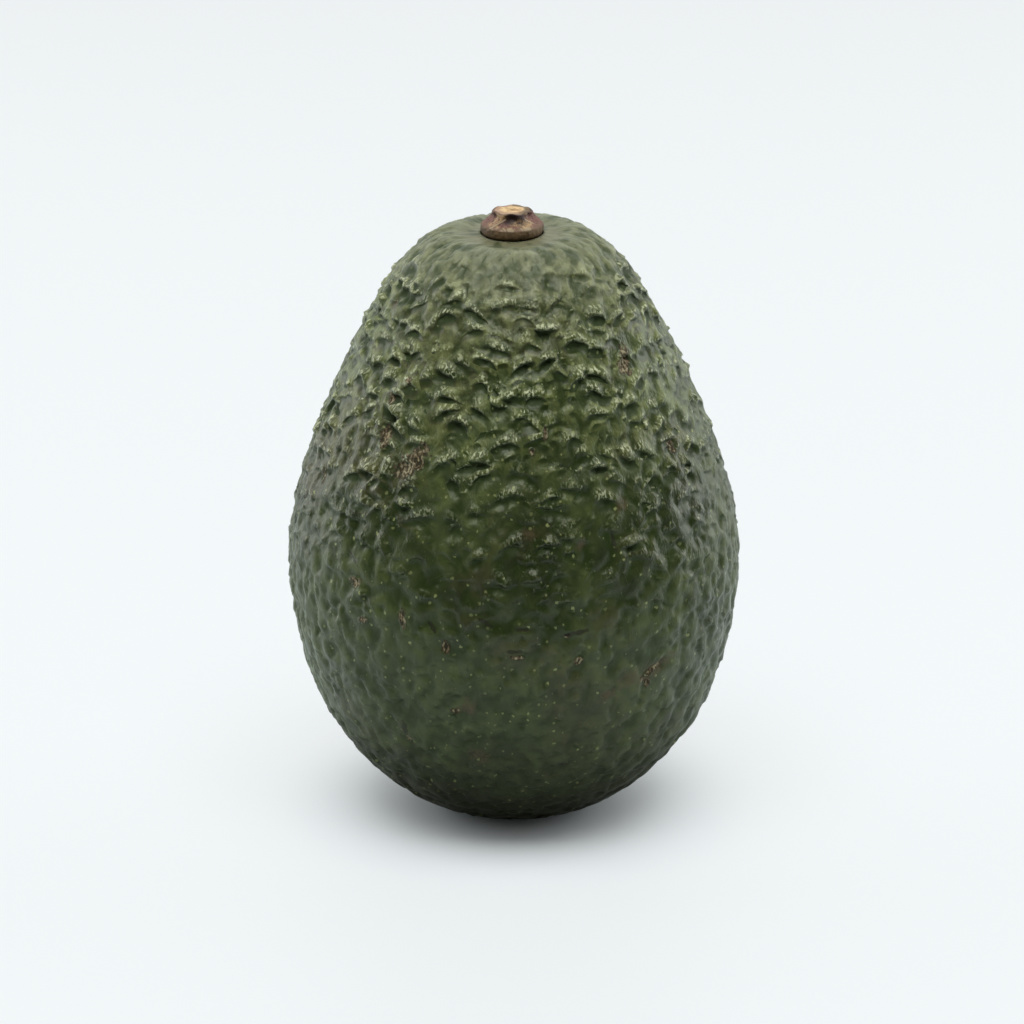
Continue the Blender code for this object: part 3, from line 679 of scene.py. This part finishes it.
def stem_bark_tree():
    """Rounds the ribbed button, draws in its neck, roughens its bark, and stores each point's place on it."""
    t, sockets = geometry_tree("stem bark", {
        "Int": ("Subdivisions", "Rounding"),
        "Float": ("Roughness", "Pinch", "Corners"),
        "Vector": ("Foot",),
        "Material": ("Bark",),
    })
    given = t.node("NodeGroupInput").outputs
    position = t.node("GeometryNodeInputPosition").outputs[0]
    normal = t.node("GeometryNodeInputNormal").outputs[0]

    inputs = {"Mesh": given["Geometry"], "Level": given["Subdivisions"]}
    geometry = t.node("GeometryNodeSubdivideMesh", inputs).outputs[0]
    blur = {"Value": position, "Iterations": given["Rounding"]}
    rounded = t.node("GeometryNodeBlurAttribute", blur, data_type="FLOAT_VECTOR").outputs[0]
    geometry = t.node("GeometryNodeSetPosition", {"Geometry": geometry, "Position": rounded}).outputs[0]

    axis = (0.0, -math.sin(STEM_LEAN), math.cos(STEM_LEAN))
    from_foot = t.vector("SUBTRACT", position, given["Foot"])
    up = t.vector("DOT_PRODUCT", from_foot, axis)
    across = t.vector("SUBTRACT", from_foot, t.scaled(axis, up))
    split = t.node("ShaderNodeSeparateXYZ", {0: across}).outputs
    turn = t.math("ARCTAN2", split[0], t.math("MULTIPLY", split[1], -1.0))
    geometry = t.store(geometry, "turn", t.math("DEGREES", turn))
    geometry = t.store(geometry, "up", t.math("DIVIDE", up, MM))
    radius = t.vector("LENGTH", across)
    geometry = t.store(geometry, "off_axis", t.math("DIVIDE", radius, MM))
    facing = t.vector("DOT_PRODUCT", normal, axis)
    cut = t.math("MULTIPLY", t.ramp(up, 3.35 * MM, 3.6 * MM), t.ramp(facing, 0.6, 0.85))
    geometry = t.store(geometry, "cut", cut)

    # The neck draws in, most at the front under the rim, and the rim rises to blunt corners.
    front = t.ramp(t.math("ABSOLUTE", turn), math.radians(15), math.radians(55), 1.0, 0.08)
    neck = t.math("MULTIPLY", t.ramp(up, 1.65 * MM, 2.3 * MM), t.ramp(up, 3.6 * MM, 2.6 * MM))
    pinch = t.math("MULTIPLY", t.math("MULTIPLY", neck, given["Pinch"]), t.math("MULTIPLY", front, -1.0))
    pinch = t.math("SUBTRACT", pinch, t.ramp(up, 2.7 * MM, 3.4 * MM, 0.0, RIM_DRAW))
    corner = t.math("SUBTRACT", t.math("COSINE", t.math("MULTIPLY_ADD", turn, 6.0, 0.4)), 1.0)
    corner = t.math("MULTIPLY", corner, given["Corners"])
    on_rim = t.math("MULTIPLY", t.ramp(up, 3.3 * MM, 3.7 * MM), t.ramp(radius, 1.6 * MM, 2.9 * MM))
    corner = t.math("MULTIPLY", corner, on_rim)
    corner = t.math("SUBTRACT", corner, t.ramp(up, 1.9 * MM, 3.4 * MM, 0.0, RIM_DROP))

    # Bark: ridges that run up the neck, and crumbly cork over them; the cut face stays nearly flat.
    upright = t.vector("MULTIPLY", position, (1.0, 1.0, 0.35))
    ridges = t.math("SUBTRACT", t.noise(upright, 1100.0, detail=2.0, roughness=0.6), 0.5)
    crumbs = t.math("SUBTRACT", t.noise(position, 2200.0, detail=2.0, roughness=0.6), 0.55)
    rough = t.math("MULTIPLY", t.math("ADD", ridges, crumbs), given["Roughness"])
    rough = t.math("MULTIPLY", rough, t.ramp(cut, 0.0, 1.0, 1.6, 0.4))
    rough = t.math("MULTIPLY", rough, t.ramp(up, 0.55 * MM, 0.9 * MM))
    offset = t.vector("ADD", t.scaled(normal, rough), t.scaled(t.vector("NORMALIZE", across), pinch))
    offset = t.vector("ADD", offset, t.scaled(axis, corner))
    geometry = t.node("GeometryNodeSetPosition", {"Geometry": geometry, "Offset": offset}).outputs[0]

    t.end(geometry, given["Bark"])
    return t.tree, sockets


def stem_material():
    made, t = new_material("woody stem")
    place = t.node("ShaderNodeTexCoord").outputs["Object"]

    def own(name):
        return t.node("ShaderNodeAttribute", attribute_name=name).outputs["Fac"]

    turn, up, off_axis, cut = own("turn"), own("up"), own("off_axis"), own("cut")
    blotch = t.noise(place, 750.0, detail=3.0, roughness=0.6)
    fibre = t.noise(t.vector("MULTIPLY", place, (1.0, 1.0, 0.4)), 3200.0, detail=3.0, roughness=0.7)
    around = t.math("ABSOLUTE", turn)

    bark = t.mix(t.ramp(blotch, 0.42, 0.60), BARK_RED, t.mix(t.ramp(around, 50.0, 75.0), BARK_TAN, BARK_RED))
    bark = t.mix(t.math("MULTIPLY", t.ramp(fibre, 0.50, 0.36), 0.75), bark, DARK_BARK_AND_PAINTED_SHADE)
    # Painted shadow under the rim of the cut, at the front of the drawn-in neck.
    aside = t.math("ABSOLUTE", t.math("SUBTRACT", turn, 8.0))
    painted_rim_shadow = t.math("MULTIPLY", t.ramp(aside, 42.0, 18.0), t.ramp(up, 2.1, 2.6))
    bark = t.mix(t.math("MULTIPLY", painted_rim_shadow, t.ramp(blotch, 0.66, 0.50, 0.5, 0.95)), bark, DARK_BARK_AND_PAINTED_SHADE)
    dry = t.math("MULTIPLY", t.ramp(t.math("ADD", fibre, blotch), 0.88, 1.16), 0.8)
    shelf = t.mix(dry, t.mix(0.6, BARK_RED, FLANGE_SIDE), FLANGE_PALE)
    shelf = t.mix(t.ramp(around, 30.0, 60.0), shelf, t.mix(t.ramp(fibre, 0.4, 0.6), BARK_RED, FLANGE_SIDE))
    bark = t.mix(t.ramp(up, 2.15, 1.85), bark, shelf)
    flange = t.mix(t.ramp(blotch, 0.42, 0.60), FLANGE_SIDE, t.mix(0.4, FLANGE_SIDE, DARK_BARK_AND_PAINTED_SHADE))
    bark = t.mix(t.ramp(up, 1.65, 1.45), bark, flange)
    # Painted shade in the crease where the button meets the rind.
    bark = t.mix(t.math("MULTIPLY", t.ramp(up, 0.34, 0.12), 0.25), bark, DARK_BARK_AND_PAINTED_SHADE)
    strands = None
    for low_turn, low_up, high_turn, high_up in BARK_STRANDS:
        along = Vector(((high_turn - low_turn) * MM_PER_DEGREE, high_up - low_up, 0.0))
        length = along.length
        along.normalize()
        u = t.math("MULTIPLY", t.math("SUBTRACT", turn, float(low_turn)), MM_PER_DEGREE)
        v = t.math("SUBTRACT", up, low_up)
        beside = t.math("SUBTRACT", t.math("MULTIPLY", u, along.y), t.math("MULTIPLY", v, along.x))
        beside = t.math("ABSOLUTE", beside)
        run = t.math("ADD", t.math("MULTIPLY", u, along.x), t.math("MULTIPLY", v, along.y))
        within = t.math("MULTIPLY", t.ramp(run, -0.15, 0.1), t.ramp(run, length + 0.15, length - 0.1))
        strand = t.math("MULTIPLY", t.ramp(beside, 0.20, 0.07), within)
        strands = strand if strands is None else t.math("MAXIMUM", strands, strand)
    bark = t.mix(t.math("MULTIPLY", strands, 0.75), bark, FLANGE_PALE)

    wood = t.mix(t.ramp(t.noise(place, 1500.0, detail=2.0, roughness=0.65), 0.36, 0.60), CUT_TAN, CUT_PALE)
    outer = t.ramp(t.math("MULTIPLY_ADD", blotch, 0.9, off_axis), 2.3, 2.85)
    shade = t.mix(t.ramp(turn, -20.0, 60.0), CUT_RED, t.mix(0.5, FLANGE_SIDE, DARK_BARK_AND_PAINTED_SHADE))
    wood = t.mix(t.math("MULTIPLY", outer, 0.85), wood, shade)
    pith = t.math("MULTIPLY", t.ramp(off_axis, 0.75, 0.45), t.ramp(off_axis, 0.05, 0.22, 0.5, 1.0))
    wood = t.mix(pith, wood, PITH)
    wood = t.mix(t.math("MULTIPLY", t.ramp(off_axis, 2.7, 3.05), 0.75), wood, DARK_BARK_AND_PAINTED_SHADE)
    colour = t.mix(cut, bark, wood)

    heights = t.math("MULTIPLY_ADD", fibre, 0.12, t.math("MULTIPLY", blotch, 0.10))
    heights = t.math("MULTIPLY_ADD", strands, 0.10, heights)
    bump = t.node("ShaderNodeBump", {"Strength": 1.0, "Distance": MM, "Height": heights})
    shader = t.node("ShaderNodeBsdfPrincipled", {"Base Color": colour, "Normal": bump.outputs[0]})
    shader.inputs["Roughness"].default_value = 0.62
    t.node("ShaderNodeOutputMaterial", {"Surface": shader.outputs[0]})
    return made


stem_wood = merged_copy("stem_wood", "stem_button")
bark_tree, bark_inputs = stem_bark_tree()
bark_sizes = {
    "Subdivisions": BARK_SUBDIVISIONS,
    "Rounding": BARK_ROUNDING,
    "Roughness": BARK_ROUGHNESS,
    "Pinch": NECK_PINCH,
    "Corners": RIM_CORNERS,
    "Foot": stem_seat(),
    "Bark": stem_material(),
}
apply_nodes(stem_wood, bark_tree, {bark_inputs[name]: size for name, size in bark_sizes.items()})
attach(stem_wood, "root")
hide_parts("stem_button")


# ---- Studio ------------------------------------------------------------------------------------------
# A white table in a white room: a large soft light overhead and in front, one on each side, and a softer
# one for the far end of the table. The table ends in front of the camera, where the room is dark.

TABLE_RADIUS = 6.0
TABLE_COLOUR = (0.755, 0.83, 0.845)
BEYOND_TABLE = (0.03, 0.03, 0.03)
BLACK = (0.0, 0.0, 0.0)
TABLE_EDGE = -0.15
PAINTED_GLOW_SHARE = 0.75  # how much painted glow fills the table's shadows away from the fruit
# the colour of that painted glow
PAINTED_TABLE_GLOW = (0.812, 0.835, 0.845)
CAMERA_DISTANCE = 0.509
CAMERA_LENS = 115.1
CAMERA_RISE = math.radians(18.0)
LOOK_AT = Vector((-0.0003, 0.0, 0.0477))

table_mesh = bpy.data.meshes.new("table")
built = bmesh.new()
bmesh.ops.create_circle(built, cap_ends=True, segments=96, radius=TABLE_RADIUS)
built.to_mesh(table_mesh)
built.free()
table = bpy.data.objects.new("table", table_mesh)
bpy.context.scene.collection.objects.link(table)
table_paint, t = new_material("table white")
spot = t.node("ShaderNodeNewGeometry").outputs["Position"]
ahead = t.node("ShaderNodeSeparateXYZ", {0: spot}).outputs[1]
on_table = t.ramp(ahead, TABLE_EDGE - 0.03, TABLE_EDGE + 0.03)
seen = t.node("ShaderNodeLightPath").outputs["Is Camera Ray"]
away = t.vector("LENGTH", spot)
# For light that bounces off it, the table ends at its edge and is darkened close to the fruit: a painted
# shadow that deepens the shade under the fruit.
table_edge_and_painted_shadow = t.math("MULTIPLY", on_table, t.ramp(away, 0.02, 0.07, 0.20, 1.0))
# Where the camera sees it, the table glows more the farther it is from the fruit: painted light that fills
# its shadows.
painted_glow_share = t.math("MULTIPLY", seen, t.ramp(away, 0.008, 0.042, 0.0, PAINTED_GLOW_SHARE))
white = t.mix(t.math("MAXIMUM", table_edge_and_painted_shadow, seen), BEYOND_TABLE, TABLE_COLOUR)
white = t.mix(painted_glow_share, white, BLACK)
painted_glow = t.mix(painted_glow_share, BLACK, PAINTED_TABLE_GLOW)
paint = t.node("ShaderNodeBsdfPrincipled", {"Base Color": white, "Emission Color": painted_glow})
paint.inputs["Emission Strength"].default_value = 1.0
paint.inputs["Roughness"].default_value = 0.6
t.node("ShaderNodeOutputMaterial", {"Surface": paint.outputs[0]})
table_mesh.materials.append(table_paint)

world = bpy.data.worlds.new("white room")
bpy.context.scene.world = world
world.use_nodes = True
world.node_tree.nodes.clear()
t = Tree(world.node_tree)
direction = t.node("ShaderNodeTexCoord").outputs["Generated"]
direction = t.node("ShaderNodeSeparateXYZ", {0: direction}).outputs
room = t.mix(t.ramp(direction[1], -0.42, 0.65), (0.04, 0.04, 0.04), (0.92, 0.96, 0.97))
overhead = t.math("MULTIPLY", t.ramp(direction[2], 0.35, 0.75), t.ramp(direction[1], 0.55, 0.0))
room = t.mix(overhead, room, (0.25, 0.26, 0.26))
ray = t.node("ShaderNodeLightPath").outputs
room = t.mix(t.math("MULTIPLY", ray["Is Diffuse Ray"], 0.62), room, BLACK)
room = t.mix(ray["Is Camera Ray"], room, (0.84, 0.88, 0.89))
background = t.node("ShaderNodeBackground", {"Color": room, "Strength": 1.0})
t.node("ShaderNodeOutputWorld", {"Surface": background.outputs[0]})


def soft_light(name, place, aim, width, depth, power):
    lamp = bpy.data.lights.new(name, "AREA")
    lamp.shape = "RECTANGLE"
    lamp.size = width
    lamp.size_y = depth
    lamp.energy = power
    light = bpy.data.objects.new(name, lamp)
    bpy.context.scene.collection.objects.link(light)
    light.location = place
    light.rotation_euler = (Vector(aim) - Vector(place)).to_track_quat("-Z", "Y").to_euler()


soft_light("main", (0.0, -0.40, 1.08), (0, 0, 0.05), 1.10, 0.65, 13.8)
soft_light("left side", (-0.95, 0.42, 0.24), (0, 0, 0.05), 0.6, 0.8, 4.6)
soft_light("right side", (0.95, 0.42, 0.24), (0, 0, 0.05), 0.6, 0.8, 4.6)
soft_light("far end", (0.0, 1.20, 1.2), (0, 1.0, 0.0), 2.0, 0.8, 3.2)

camera_data = bpy.data.cameras.new("camera")
camera_data.lens = CAMERA_LENS
camera = bpy.data.objects.new("camera", camera_data)
bpy.context.scene.collection.objects.link(camera)
back = Vector((0.0, -math.cos(CAMERA_RISE), math.sin(CAMERA_RISE)))
camera.location = LOOK_AT + back * CAMERA_DISTANCE
camera.rotation_euler = (-back).to_track_quat("-Z", "Y").to_euler()
bpy.context.scene.camera = camera
bpy.context.scene.view_settings.view_transform = "Standard"
